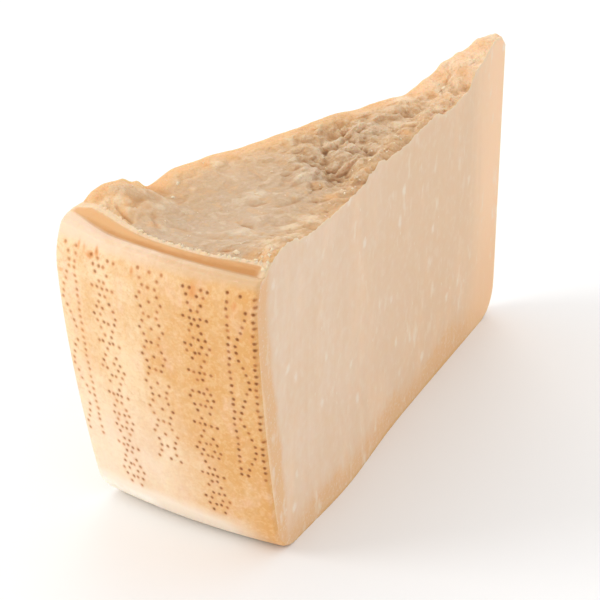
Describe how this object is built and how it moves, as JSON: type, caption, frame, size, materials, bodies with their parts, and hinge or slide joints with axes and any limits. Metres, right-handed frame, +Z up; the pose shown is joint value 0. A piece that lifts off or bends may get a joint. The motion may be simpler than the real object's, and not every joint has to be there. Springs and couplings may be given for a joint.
{
  "type": "cheese wedge",
  "caption": "Wedge of aged hard cheese cut from half a wheel, with a curved rind in front, smooth cut sides and a rough split top",
  "frame": {"origin": "centre of the bounding box at its base, where the wheel's flat side rests", "axes": "+Z up, +Y from the rind towards the tip, +X across the wedge to its right cut side as seen from the rind"},
  "size_m": [0.0702, 0.196, 0.104],
  "materials": {
    "cheese": "matt, pale straw to pinkish beige paste with a yellow-orange rind"
  },
  "bodies": {
    "root": {"cheese_wedge": "cheese"}
  },
  "joints": []
}
